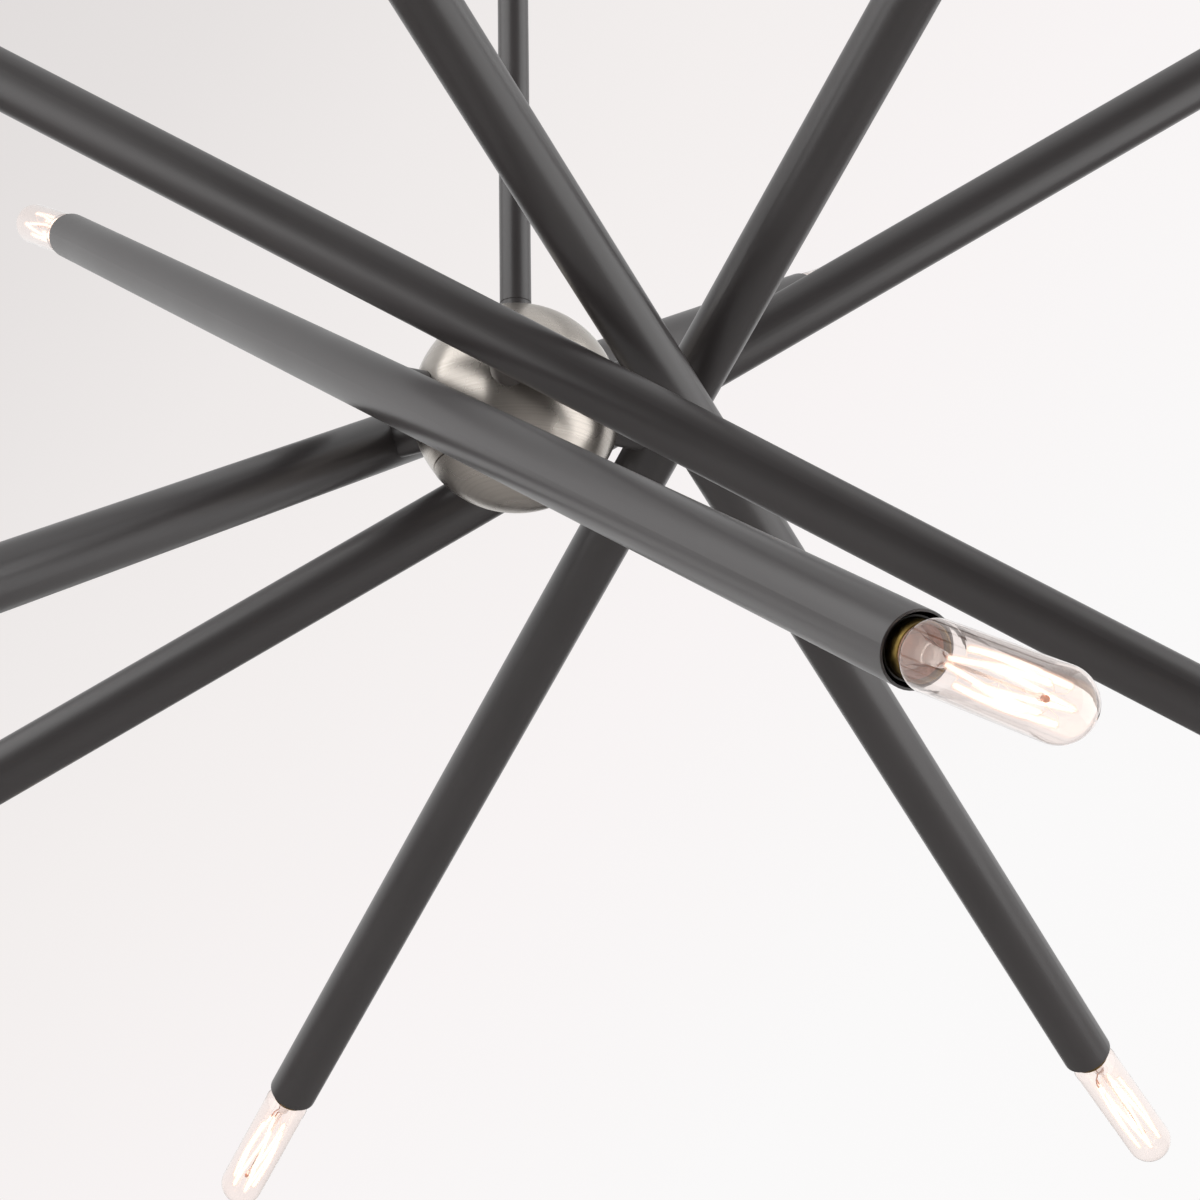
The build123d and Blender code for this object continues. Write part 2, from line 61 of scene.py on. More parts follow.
def srgb(code):
    """Linear RGBA of an sRGB hex colour."""
    channels = [int(code[i:i + 2], 16) / 255 for i in (1, 3, 5)]
    linear = [c / 12.92 if c <= 0.04045 else ((c + 0.055) / 1.055) ** 2.4 for c in channels]
    return (*linear, 1.0)


def grey(value):
    return (value, value, value, 1.0)


def cells(size_mm):
    """Scale of a noise pattern whose cells are size_mm across on the object."""
    return 1 / (size_mm * MM)


def round_angles(count):
    return [2 * math.pi * i / count for i in range(count)]


def polar(angle, radius, height):
    return Vector((radius * math.cos(angle), radius * math.sin(angle), height))


def add(tree, kind, inputs=None, stops=(), **settings):
    """Adds a node. Settings are its own properties, an input is another node (its first output),
    a socket or a plain value, and stops fill a Color Ramp."""
    node = tree.nodes.new(kind)
    for key, value in settings.items():
        setattr(node, key, value)
    for key, value in (inputs or {}).items():
        if isinstance(value, bpy.types.Node):
            value = value.outputs[0]
        if isinstance(value, bpy.types.NodeSocket):
            tree.links.new(value, node.inputs[key])
        else:
            node.inputs[key].default_value = value
    if stops:
        points = node.color_ramp.elements
        while len(points) < len(stops):
            points.new(0.5)
        for point, (place, colour) in zip(points, stops):
            point.position, point.color = place, colour
    return node


# -------------------------------------------------------------- materials

def bare_material(name):
    mat = bpy.data.materials.new(name)
    mat.use_nodes = True
    mat.node_tree.nodes.clear()
    return mat


def patterned(name, cell_mm, detail, skin, shades=(), shaded=("Base Color",), rough=None, bump=None):
    """A material whose shades, roughness and bump follow one noise with cells of a real size.
    skin holds the shader's plain values, and shaded names the sockets that the shades go to."""
    mat = bare_material(name)
    tree = mat.node_tree
    place = add(tree, "ShaderNodeTexCoord").outputs["Object"]
    noise = add(tree, "ShaderNodeTexNoise", {"Vector": place, "Scale": cells(cell_mm), "Detail": detail})
    inputs = dict(skin)
    if shades:
        colour = add(tree, "ShaderNodeValToRGB", {"Fac": noise}, shades)
        inputs.update({socket: colour for socket in shaded})
    if rough:
        low, high = rough
        inputs["Roughness"] = add(tree, "ShaderNodeValToRGB", {"Fac": noise},
                                  [(0.3, grey(low)), (0.7, grey(high))])
    if bump:
        strength, distance = bump
        inputs["Normal"] = add(tree, "ShaderNodeBump", {"Height": noise, "Strength": strength,
                                                        "Distance": distance})
    surface = add(tree, "ShaderNodeBsdfPrincipled", inputs)
    add(tree, "ShaderNodeOutputMaterial", {"Surface": surface})
    return mat


def satin_bronze_paint():
    """Sprayed and baked satin enamel, near-black bronze: a soft grey sheen along a tube, and faint
    orange peel."""
    mat = bare_material("satin_bronze_paint")
    tree = mat.node_tree
    place = add(tree, "ShaderNodeTexCoord").outputs["Object"]
    cloud = add(tree, "ShaderNodeTexNoise", {"Vector": place, "Scale": cells(111.0), "Detail": 3.0})
    colour = add(tree, "ShaderNodeValToRGB", {"Fac": cloud},
                 [(0.3, srgb("#3a3636")), (0.7, srgb("#403c3c"))])
    rough = add(tree, "ShaderNodeValToRGB", {"Fac": cloud}, [(0.3, grey(0.34)), (0.7, grey(0.40))])
    peel = add(tree, "ShaderNodeTexNoise", {"Vector": place, "Scale": cells(1.11), "Detail": 2.0})
    bump = add(tree, "ShaderNodeBump", {"Height": peel, "Strength": 0.05, "Distance": 0.4 * MM})
    skin = add(tree, "ShaderNodeBsdfPrincipled", {
        "Base Color": colour, "Roughness": rough, "Normal": bump, "Metallic": 0.0, "IOR": 1.5,
        "Specular IOR Level": 0.7, "Coat Weight": 0.15, "Coat Roughness": 0.28})
    add(tree, "ShaderNodeOutputMaterial", {"Surface": skin})
    return mat


def brushed_nickel():
    """Satin nickel plate, brushed on a lathe: fine rings round the ball, which smear its
    highlights up and down."""
    mat = bare_material("brushed_nickel")
    tree = mat.node_tree
    place = add(tree, "ShaderNodeTexCoord").outputs["Object"]
    # Rings 0.77 mm apart are coarser than the real ones of 0.1 mm, so that a close view shows them
    stretch = (cells(250.0), cells(250.0), cells(0.77))
    spun = add(tree, "ShaderNodeMapping", {"Vector": place, "Scale": stretch})
    rings = add(tree, "ShaderNodeTexNoise", {"Vector": spun, "Scale": 1.0, "Detail": 1.0})
    colour = add(tree, "ShaderNodeValToRGB", {"Fac": rings},
                 [(0.3, srgb("#bdb6ae")), (0.7, srgb("#c9c2ba"))])
    cloud = add(tree, "ShaderNodeTexNoise", {"Vector": place, "Scale": cells(25.0), "Detail": 3.0})
    rough = add(tree, "ShaderNodeValToRGB", {"Fac": cloud}, [(0.3, grey(0.26)), (0.7, grey(0.29))])
    bump = add(tree, "ShaderNodeBump", {"Height": rings, "Strength": 0.008, "Distance": 0.1 * MM})
    around = add(tree, "ShaderNodeTangent", direction_type="RADIAL", axis="Z")
    metal = add(tree, "ShaderNodeBsdfPrincipled", {
        "Base Color": colour, "Roughness": rough, "Normal": bump, "Tangent": around,
        "Metallic": 1.0, "Anisotropic": 0.7, "Anisotropic Rotation": 0.25})
    add(tree, "ShaderNodeOutputMaterial", {"Surface": metal})
    return mat


def zinc_steel():
    """Zinc-plated steel: pale blue-grey with a faint crystal mottle and a dull shine."""
    return patterned("zinc_steel", 6.25, 4.0, {"Metallic": 1.0},
                     [(0.3, srgb("#a9adb1")), (0.7, srgb("#c3c6c8"))], rough=(0.30, 0.42))


def black_phenolic():
    """Moulded black phenolic resin of a lampholder: deep black, dull, a little dusty."""
    return patterned("black_phenolic", 3.3, 3.0, {"Roughness": 0.45, "IOR": 1.5},
                     [(0.4, srgb("#1e1d1a")), (0.75, srgb("#2a2925"))])


def lamp_brass():
    """Rolled brass of a screw base: warm dull yellow, stained here and there."""
    return patterned("lamp_brass", 4.5, 3.0, {"Metallic": 1.0},
                     [(0.35, srgb("#66532c")), (0.7, srgb("#87723f"))], rough=(0.30, 0.42))


def lamp_glass():
    """Blown soda-lime glass: colourless, with bright grey edges and a soft long highlight. Its
    faint glow is painted light: an emission that stands for the thread's light scattered in the glass."""
    return patterned("lamp_glass", 16.7, 1.0,
                     {"Base Color": srgb("#faf6f4"), "Roughness": 0.01, "IOR": 1.42,
                      "Transmission Weight": 1.0,
                      # Painted glow: this emission stands for the thread's light scattered in the glass
                      "Emission Color": srgb("#ffe6dc"), "Emission Strength": 0.025},
                     bump=(0.03, 0.6 * MM))


def press_glass():
    """Pressed glass of the lamp's mount: clear, with small seeds in its surface, and a painted glow that stands
    for the thread's light caught in it.
    """
    return patterned("press_glass", 1.43, 2.0,
                     {"Base Color": srgb("#f2e8e2"), "Roughness": 0.15, "IOR": 1.5,
                      "Transmission Weight": 0.8,
                      # Painted glow: this emission stands for the thread's light caught in the pressed glass
                      "Emission Color": srgb("#fff2ec"), "Emission Strength": 0.06},
                     bump=(0.2, 0.3 * MM))


def copper_wire():
    """Copper-plated lead wire, drawn: pink metal with a soft shine."""
    return patterned("copper_wire", 2.0, 2.0, {"Metallic": 1.0, "Roughness": 0.35},
                     [(0.35, srgb("#b98770")), (0.7, srgb("#d3a590"))])


def glowing_filament():
    """Carbonised thread at full heat: white, slightly warmer where it is cooler."""
    return patterned("glowing_filament", 8.3, 1.0,
                     {"Base Color": srgb("#fff1dc"), "Roughness": 0.6, "Emission Strength": 1.1},
                     [(0.3, srgb("#fff0e0")), (0.7, srgb("#fffaf0"))], ("Emission Color",))


def filament_halo():
    """White-hot bloom hard against the thread, half clear."""
    return patterned("filament_halo", 11.0, 1.0,
                     {"Base Color": srgb("#e8dcd0"), "Roughness": 1.0, "Emission Strength": 1.0,
                      "Alpha": 0.45},
                     [(0.3, srgb("#fff2e2")), (0.7, srgb("#fffaf0"))], ("Emission Color",))


def filament_glare():
    """Hot haze round the bloom: a faint peach-white veil, clear enough to see through."""
    return patterned("filament_glare", 11.0, 1.0,
                     {"Base Color": srgb("#d8c4ba"), "Roughness": 1.0, "Emission Strength": 0.8,
                      "Alpha": 0.16},
                     [(0.3, srgb("#ffc9b2")), (0.7, srgb("#ffdccb"))], ("Emission Color",))


def lit_support():
    """Support wire with the light of the thread it holds painted on: a pale peach colour and glow, all but lost
    against the thread's own glow.
    """
    # The peach colour and the emission are painted light from the thread
    return patterned("lit_support", 3.3, 1.0, {"Roughness": 0.5, "Emission Strength": 0.7},
                     [(0.3, srgb("#f0c9b8")), (0.7, srgb("#f8dccf"))],
                     ("Base Color", "Emission Color"))


def insulator_glass():
    """Black glass at the foot of a screw base: deep purple-black and glossy."""
    return patterned("insulator_glass", 5.0, 1.0, {"Roughness": 0.12, "IOR": 1.5},
                     [(0.3, srgb("#17131a")), (0.7, srgb("#241d29"))])


def solder_tin():
    """Soft solder of the end contact: dull silver, a little lumpy."""
    return patterned("solder_tin", 2.5, 2.0, {"Metallic": 1.0, "Roughness": 0.38},
                     [(0.3, srgb("#a4a4a3")), (0.7, srgb("#c4c4c2"))], bump=(0.4, 0.4 * MM))


PAINT, NICKEL, ZINC, PHENOLIC = satin_bronze_paint(), brushed_nickel(), zinc_steel(), black_phenolic()
BRASS, GLASS, PRESS, COPPER = lamp_brass(), lamp_glass(), press_glass(), copper_wire()
GLOW, HALO, GLARE, SUPPORT = glowing_filament(), filament_halo(), filament_glare(), lit_support()
INSULATOR, TIN = insulator_glass(), solder_tin()
SLOT_MATERIAL = {"dark_paint": PAINT, "nickel": NICKEL, "zinc_steel": ZINC,
                 "holder_black": PHENOLIC, "lamp_glass": GLASS, "lamp_brass": BRASS}

for part in frame["record"]["subparts"]:
    mesh = nodes[part["node"]].data
    mesh.materials.clear()
    # The bosses are recorded as nickel, but they are painted with the tubes that they carry
    painted = part["node"].startswith("boss")
    mesh.materials.append(PAINT if painted else SLOT_MATERIAL[part["material_slot"]])


# ------------------------------------------------------------ mesh helpers

def bridge(bm, low, high, slot):
    """Smooth faces between two rings of vertices; a ring drawn in to a pole gives triangles."""
    for k in range(len(low)):
        n = (k + 1) % len(low)
        face = bm.faces.new(list(dict.fromkeys((low[k], low[n], high[n], high[k]))))
        face.material_index = slot
        face.smooth = True


def revolve(bm, profile, slots, sides):
    """Turns an open profile of (radius, height) points about z; a radius of 0 is a pole."""
    loops = []
    for radius, height in profile:
        if radius == 0:
            loops.append([bm.verts.new((0, 0, height))] * sides)
        else:
            loops.append([bm.verts.new(polar(a, radius, height)) for a in round_angles(sides)])
    for low, high, slot in zip(loops, loops[1:], slots):
        bridge(bm, low, high, slot)


def wire(bm, points, radius, sides, slot):
    """A round wire along points, its rings carried on without twist and its ends closed."""
    axis = (points[1] - points[0]).normalized()
    guide = Vector((0, 0, 1)) if abs(axis.z) < 0.9 else Vector((1, 0, 0))
    x = (guide - axis * guide.dot(axis)).normalized()
    rings = []
    for i, point in enumerate(points):
        before = points[max(i - 1, 0)]
        after = points[min(i + 1, len(points) - 1)]
        axis = (after - before).normalized()
        x = (x - axis * x.dot(axis)).normalized()
        y = axis.cross(x)
        rings.append([bm.verts.new(point + (x * math.cos(a) + y * math.sin(a)) * radius)
                      for a in round_angles(sides)])
    for low, high in zip(rings, rings[1:]):
        bridge(bm, low, high, slot)
    bm.faces.new(list(reversed(rings[0]))).material_index = slot
    bm.faces.new(rings[-1]).material_index = slot


def to_mesh(bm, name, materials, merge):
    """A finished mesh: doubles closer than merge are joined, and faces point outwards."""
    bmesh.ops.remove_doubles(bm, verts=bm.verts, dist=merge)
    bmesh.ops.recalc_face_normals(bm, faces=bm.faces)
    mesh = bpy.data.meshes.new(name)
    bm.to_mesh(mesh)
    bm.free()
    for mat in materials:
        mesh.materials.append(mat)
    return mesh


# -------------------------------------------------- bulb and screw base, mm

GLASS_R, GLASS_WALL, GLASS_TIP, GLASS_SIDES = 16.0, 0.4, 122.0, 72
NECK_R, NECK_START, NECK_BEND, NECK_END, SHOULDER_END = 12.6, 1.2, 4.0, 6.5, 13.5
SHOULDER_STEPS, DOME_STEPS = 8, 16


def glass_side(inset):
    """Half outline of the bulb, from the neck's foot to the tip, moved in by inset."""
    radius, neck = GLASS_R - inset, NECK_R - inset
    points = [(neck, NECK_START), (neck, NECK_BEND)]
    for i in range(SHOULDER_STEPS + 1):
        share = i / SHOULDER_STEPS
        swell = share * share * (3 - 2 * share)
        points.append((neck + (radius - neck) * swell, NECK_END + (SHOULDER_END - NECK_END) * share))
    centre = GLASS_TIP - GLASS_R
    points += [(radius, SHOULDER_END + (centre - SHOULDER_END) * share) for share in (0.02, 0.5, 0.98)]
    for i in range(DOME_STEPS):
        a = math.pi / 2 * i / DOME_STEPS
        points.append((radius * math.cos(a), centre + radius * math.sin(a)))
    return points + [(0, centre + radius)]


def blown_glass():
    """The bulb as one closed shell: outer skin up, inner skin back down to the neck's foot."""
    bm = bmesh.new()
    outer = glass_side(0)
    inner = list(reversed(glass_side(GLASS_WALL))) + [outer[0]]
    for skin in (outer, inner):
        revolve(bm, skin, [0] * (len(skin) - 1), GLASS_SIDES)
    return to_mesh(bm, "blown_glass", [GLASS], 0.001)


BASE_R, BASE_SIDES, BASE_RIM, RIM_ROUND = 13.2, 64, 6.0, 0.15
THREAD_DEPTH, THREAD_PITCH, THREAD_TOP, THREAD_FOOT = 0.75, 3.63, -1.5, -15.5
THREAD_STEP, THREAD_FADE, FADE_START, PLAIN_BAND = 0.45, 1.2, 0.4, 0.8
BORE_GAP, FLOOR_RISE = 0.9, 0.5


def thread_share(z):
    """Share of the thread's full depth at a height: it fades out towards both its ends."""
    from_top = (THREAD_TOP + FADE_START - z) / THREAD_FADE
    from_foot = (z - THREAD_FOOT + FADE_START) / THREAD_FADE
    return min(1.0, max(0.0, from_top), max(0.0, from_foot))


def screw_base():
    """Rolled screw shell with a true helical thread, black insulator and solder contact."""
    bm = bmesh.new()
    rows = int((THREAD_TOP - THREAD_FOOT) / THREAD_STEP) + 1
    heights = [BASE_RIM, BASE_RIM - 2 * RIM_ROUND, THREAD_TOP + PLAIN_BAND]
    heights += [THREAD_TOP - THREAD_STEP * i for i in range(rows)] + [THREAD_FOOT - PLAIN_BAND]
    shell = []
    for z in heights:
        depth = THREAD_DEPTH * thread_share(z)
        rim = RIM_ROUND if z == BASE_RIM else 0
        loop = []
        for a in round_angles(BASE_SIDES):
            groove = 0.5 - 0.5 * math.cos(2 * math.pi * z / THREAD_PITCH - a)
            loop.append(bm.verts.new(polar(a, BASE_R - depth * groove - rim, z)))
        shell.append(loop)
    for low, high in zip(shell, shell[1:]):
        bridge(bm, low, high, 0)
    # The shell hugs the bulb's neck; below it the inside takes the copper material, a painted warm reflection of
    # the lamp's light seen through the glass
    bore, floor = BASE_R - THREAD_DEPTH - BORE_GAP, THREAD_FOOT + FLOOR_RISE
    inside = [(BASE_R - RIM_ROUND, BASE_RIM), (NECK_R, BASE_RIM), (NECK_R, NECK_START - 0.05),
              (bore, NECK_START - 0.6), (bore, floor), (0, floor)]
    revolve(bm, inside, [0, 0, 3, 3, 3], BASE_SIDES)
    foot = [(BASE_R, THREAD_FOOT - PLAIN_BAND), (11.6, -17.0), (10.2, -18.0), (9.4, -18.2),
            (6.2, -19.4), (5.4, -19.6), (4.9, -19.7), (4.6, -20.6), (3.2, -21.0), (0, -21.0)]
    revolve(bm, foot, [0, 0, 0, 1, 1, 1, 2, 2, 2], BASE_SIDES)
    return to_mesh(bm, "screw_base", [BRASS, INSULATOR, TIN, COPPER], 0.005)


# ----------------------------------------------- filament and its mount, mm

CAGE_LOW, CAGE_MIDDLE, CAGE_TOP = 37.0, 64.0, 106.0
CAGE_LOW_R, CAGE_BULGE, CAGE_TOP_R = 8.0, 1.8, 8.4
STRANDS, CAGE_SWEEP = 10, 2 * math.pi * 0.94
THREAD_R, HALO_R, GLARE_R, SUPPORT_R, LEAD_R = 0.45, 1.1, 1.9, 0.14, 0.5
BEND_R, BEND_POINTS, THREAD_PIECE = 0.05, 4, 1.6
HOOK_DROP_TOP, HOOK_DROP_LOW = 9.0, 6.5
LEAD_ANGLES = (1.4, -1.8)


def filament_tree():
    """Zigzag thread with its halo and glare: a line of points laid up and down round a cage,
    bowed outwards and given three round sections."""
    tree = bpy.data.node_groups.new("filament_cage", "GeometryNodeTree")
    sizes = {"Low Height": CAGE_LOW, "Top Height": CAGE_TOP, "Low Radius": CAGE_LOW_R,
             "Top Radius": CAGE_TOP_R, "Sweep": CAGE_SWEEP, "Bulge": CAGE_BULGE,
             "Thread Radius": THREAD_R, "Halo Radius": HALO_R, "Glare Radius": GLARE_R}
    skins = {"Thread Material": GLOW, "Halo Material": HALO, "Glare Material": GLARE}
    for kind, values in (("NodeSocketInt", {"Strands": STRANDS}), ("NodeSocketFloat", sizes),
                         ("NodeSocketMaterial", skins)):
        for name, value in values.items():
            socket = tree.interface.new_socket(name=name, in_out="INPUT", socket_type=kind)
            socket.default_value = value
    tree.interface.new_socket(name="Geometry", in_out="OUTPUT", socket_type="NodeSocketGeometry")
    given = add(tree, "NodeGroupInput").outputs

    # Points 0, 2, 4 ... go to the low end of the cage and the others to its top
    index = add(tree, "GeometryNodeInputIndex")
    count = add(tree, "ShaderNodeMath", {0: given["Strands"], 1: 1.0}, operation="ADD")
    line = add(tree, "GeometryNodeMeshLine", {"Count": count})
    level = add(tree, "ShaderNodeMath", {0: index, 1: 2.0}, operation="MODULO")
    radius = add(tree, "ShaderNodeMapRange", {
        "Value": level, "To Min": given["Low Radius"], "To Max": given["Top Radius"]})
    height = add(tree, "ShaderNodeMapRange", {
        "Value": level, "To Min": given["Low Height"], "To Max": given["Top Height"]})
    angle = add(tree, "ShaderNodeMapRange", {
        "Value": index, "From Max": given["Strands"], "To Max": given["Sweep"]})
    corner = add(tree, "ShaderNodeCombineXYZ", {"X": radius, "Z": height})
    turned = add(tree, "ShaderNodeVectorRotate", {"Vector": corner, "Angle": angle},
                 rotation_type="Z_AXIS")
    laid = add(tree, "GeometryNodeSetPosition", {"Geometry": line, "Position": turned})
    curve = add(tree, "GeometryNodeMeshToCurve", {"Mesh": laid})
    rounded = add(tree, "GeometryNodeFilletCurve", {
        "Curve": curve, "Radius": BEND_R, "Count": BEND_POINTS}, mode="POLY")
    fine = add(tree, "GeometryNodeResampleCurve", {"Curve": rounded, "Length": THREAD_PIECE},
               mode="LENGTH")

    # Each strand bows outwards, most at mid height
    position = add(tree, "GeometryNodeInputPosition")
    z = add(tree, "ShaderNodeSeparateXYZ", {"Vector": position}).outputs["Z"]
    arc = add(tree, "ShaderNodeMapRange", {
        "Value": z, "From Min": given["Low Height"], "From Max": given["Top Height"],
        "To Max": math.pi})
    bow = add(tree, "ShaderNodeMath", {0: arc}, operation="SINE")
    swell = add(tree, "ShaderNodeMath", {0: bow, 1: given["Bulge"]}, operation="MULTIPLY")
    flat = add(tree, "ShaderNodeVectorMath", {0: position, 1: (1.0, 1.0, 0.0)}, operation="MULTIPLY")
    outward = add(tree, "ShaderNodeVectorMath", {0: flat}, operation="NORMALIZE")
    push = add(tree, "ShaderNodeVectorMath", {0: outward, "Scale": swell}, operation="SCALE")
    bowed = add(tree, "GeometryNodeSetPosition", {"Geometry": fine, "Offset": push})

    joined = add(tree, "GeometryNodeJoinGeometry")
    for part, sides in (("Thread", 8), ("Halo", 10), ("Glare", 10)):
        section = add(tree, "GeometryNodeCurvePrimitiveCircle", {
            "Radius": given[f"{part} Radius"], "Resolution": sides})
        tube = add(tree, "GeometryNodeCurveToMesh", {
            "Curve": bowed, "Profile Curve": section, "Fill Caps": True})
        real = add(tree, "GeometryNodeRealizeInstances", {"Geometry": tube})
        skinned = add(tree, "GeometryNodeSetMaterial", {
            "Geometry": real, "Material": given[f"{part} Material"]})
        tree.links.new(skinned.outputs[0], joined.inputs[0])
    add(tree, "NodeGroupOutput", {"Geometry": joined})
    return tree


def grown(tree, name):
    """The mesh that a Geometry Nodes tree makes with its default inputs."""
    holder = bpy.data.objects.new(name, bpy.data.meshes.new(name))
    bpy.context.scene.collection.objects.link(holder)
    modifier = holder.modifiers.new("grow", "NODES")
    modifier.node_group = tree
    bpy.context.view_layer.update()
    seen = holder.evaluated_get(bpy.context.evaluated_depsgraph_get())
    mesh = bpy.data.meshes.new_from_object(seen)
    holder.modifiers.remove(modifier)
    bpy.data.objects.remove(holder)
    return mesh


def cage_angle(i):
    """Angle round the lamp of the thread's corner i."""
    return CAGE_SWEEP * i / STRANDS


def corner_hook(i):
    """Support from the rod to corner i of the thread, with a small hook round it. The hook's tip
    turns down at the top of the cage (lift 1) and up at its low end (lift -1)."""
    a = cage_angle(i)
    if i % 2:
        radius, level, lift, root = CAGE_TOP_R, CAGE_TOP, 1.0, CAGE_TOP - HOOK_DROP_TOP
    else:
        radius, level, lift, root = CAGE_LOW_R, CAGE_LOW, -1.0, CAGE_LOW - HOOK_DROP_LOW
    return [polar(a, 0.6, root), polar(a, 2.6, root + 0.3 * lift),
            polar(a, radius * 0.6, level - 0.4 * lift), polar(a, radius - 1.0, level + 0.3 * lift),
            polar(a, radius + 0.2, level + 0.5 * lift), polar(a, radius + 0.9, level - 0.2 * lift),
            polar(a, radius + 0.5, level - 1.1 * lift)]


def middle_hook(i):
    """Support from the rod to a strand at mid height."""
    a = cage_angle(2 * i + 0.5)
    return [polar(a, radius, CAGE_MIDDLE + rise)
            for radius, rise in ((0.6, 0.0), (4.0, 0.6), (8.6, -0.4), (9.9, 0.7), (9.3, 1.8))]


def lead(start, finish):
    """Lead wire from inside the base, up through the pinched glass, to an end of the thread."""
    low = [polar(start, radius, height)
           for radius, height in ((5.0, -13.0), (6.4, -3.0), (5.2, 9.0), (3.0, 19.0))]
    elbow = polar(finish, 4.6, 27.0) + polar(start, 1.2, 0.0)
    return low + [elbow, polar(finish, 7.6, 33.0), polar(finish, CAGE_LOW_R, CAGE_LOW + 1.0)]


def lamp_mount():
    """Glass flare, stem and rod, with the supports and leads that carry the thread."""
    bm = bmesh.new()
    flare = [(10.6, -9.0), (9.3, -4.5), (6.6, 0.0), (4.9, 5.0), (4.4, 11.0), (4.2, 16.5),
             (3.6, 20.5), (2.6, 23.0), (1.1, 25.5), (0.6, 60.0), (0.6, 90.5), (1.5, 91.6),
             (1.9, 93.0), (1.5, 94.4), (0, 95.0)]
    hollow = [(0, 9.0), (2.2, 7.6), (3.0, 5.0), (5.4, -0.6), (8.3, -5.2), (9.7, -9.0), flare[0]]
    bead = [(0, 94.6), (1.3, 95.0), (1.6, 96.6), (1.2, 98.2), (0, 98.8)]
    for outline, slot, sides in ((flare, 0, 28), (hollow, 0, 28), (bead, 1, 16)):
        revolve(bm, outline, [slot] * (len(outline) - 1), sides)
    for i in range(STRANDS + 1):
        wire(bm, corner_hook(i), SUPPORT_R, 6, 2)
    for start, corner in zip(LEAD_ANGLES, (0, STRANDS)):
        wire(bm, lead(start, cage_angle(corner)), LEAD_R, 8, 1)
    for i in range(4):
        wire(bm, middle_hook(i), SUPPORT_R, 6, 2)
    return to_mesh(bm, "lamp_mount", [PRESS, COPPER, SUPPORT], 0.001)


# --------------------------------------------------------- lamps in place

LAMP_TURN = 47.0


def lamp_matrix(arm, end):
    """Place of a lamp: its z is the way that the frame lets it out, its x points off the ball."""
    turning = joints[f"arm_turn_{arm}"]
    outward = -Vector(turning["axis"])
    tilt = math.radians(TUBE_TILT[arm])
    along = Vector((-outward.y, outward.x, 0)) * math.cos(tilt) - Vector((0, 0, math.sin(tilt)))
    if end == "high":
        along = -along
    mouth = Vector(turning["pos_m"]) + along * (TUBE_LENGTH / 2)
    z = Vector(joints[f"lamp_out_{arm}_{end}"]["axis"]).normalized()
    x = (outward - z * outward.dot(z)).normalized()
    turn = Matrix((x, z.cross(x), z)).transposed().to_4x4()
    return Matrix.Translation(mouth) @ turn @ Matrix.Scale(MM, 4)


def place_piece(mesh, name, matrix, body, slot_name, *replaced):
    """A copy of a lamp mesh at its place, with its object left at the origin."""
    copy = mesh.copy()
    copy.transform(matrix)
    copy.name = name
    piece = bpy.data.objects.new(name, copy)
    bpy.context.scene.collection.objects.link(piece)
    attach(piece, body)
    if replaced:
        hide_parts(*replaced)


glass_mesh, base_mesh, mount_mesh = blown_glass(), screw_base(), lamp_mount()
thread_mesh = grown(filament_tree(), "filament_thread")
for k, (arm, end) in enumerate((arm, end) for arm in TUBE_TILT for end in ("low", "high")):
    own = f"{arm}_{end}"
    body = f"lamp_{own}"
    # No two lamps stop at the same angle when they are screwed in
    seat = lamp_matrix(arm, end) @ Matrix.Rotation(math.radians(LAMP_TURN * k), 4, "Z")
    place_piece(glass_mesh, f"bulb_{own}", seat, body, "lamp_glass", f"glass_{own}")
    place_piece(base_mesh, f"screw_base_{own}", seat, body, "lamp_brass", f"base_{own}")
    place_piece(mount_mesh, f"mount_{own}", seat, body, "lamp_glass")
    place_piece(thread_mesh, f"filament_{own}", seat, body, "lamp_brass")


# ----------------------------------------------------- floor, light, camera

FLOOR_Z, FLOOR_R, FLOOR_SIDES = -2.45, 16.0, 96
FLOOR_DULL_SHARE = 0.14
SWEEP_WAY = (0.70, -0.20, -0.66)
SWEEP = [(0.0, "#e0dcdb"), (0.1, "#e6e2e1"), (0.2, "#eeeae9"), (0.3, "#f3efee"), (0.45, "#f8f4f4"),
         (0.65, "#faf9f9"), (1.0, "#fcfbfb")]
ROOM = [(0.0, 0.08), (0.40, 0.14), (0.56, 0.45), (0.80, 0.95)]
CEILING_GREY = 0.5
HUB = Vector((0, 0, HUB_Z))


def shown(tree):
    """1 for what the camera sees itself or through glass, 0 for light on the object."""
    rays = add(tree, "ShaderNodeLightPath").outputs
    return add(tree, "ShaderNodeMath", {0: rays["Is Camera Ray"], 1: rays["Is Transmission Ray"]},
               operation="MAXIMUM")


def pale_floor():
    """Matt pale round floor. The camera, and what is seen through glass, meets it nearly as bright
    as the sweep behind; from below it isn't there."""
    mesh = bpy.data.meshes.new("floor")
    rim = [polar(a, FLOOR_R, FLOOR_Z) for a in round_angles(FLOOR_SIDES)]
    mesh.from_pydata(rim, [], [tuple(range(FLOOR_SIDES))])
    mat = bare_material("pale_floor")
    mesh.materials.append(mat)
    tree = mat.node_tree
    dull = add(tree, "ShaderNodeBsdfDiffuse", {"Color": srgb("#b6b4b3")})
    bright = add(tree, "ShaderNodeEmission", {"Color": srgb("#fbf9f9"), "Strength": 1.0})
    pale = add(tree, "ShaderNodeMixShader", {0: FLOOR_DULL_SHARE, 1: bright, 2: dull})
    lit = add(tree, "ShaderNodeMixShader", {0: shown(tree), 1: dull, 2: pale})
    below = add(tree, "ShaderNodeNewGeometry").outputs["Backfacing"]
    gone = add(tree, "ShaderNodeBsdfTransparent")
    seen = add(tree, "ShaderNodeMixShader", {0: below, 1: lit, 2: gone})
    add(tree, "ShaderNodeOutputMaterial", {"Surface": seen})
    floor = bpy.data.objects.new("floor", mesh)
    bpy.context.scene.collection.objects.link(floor)


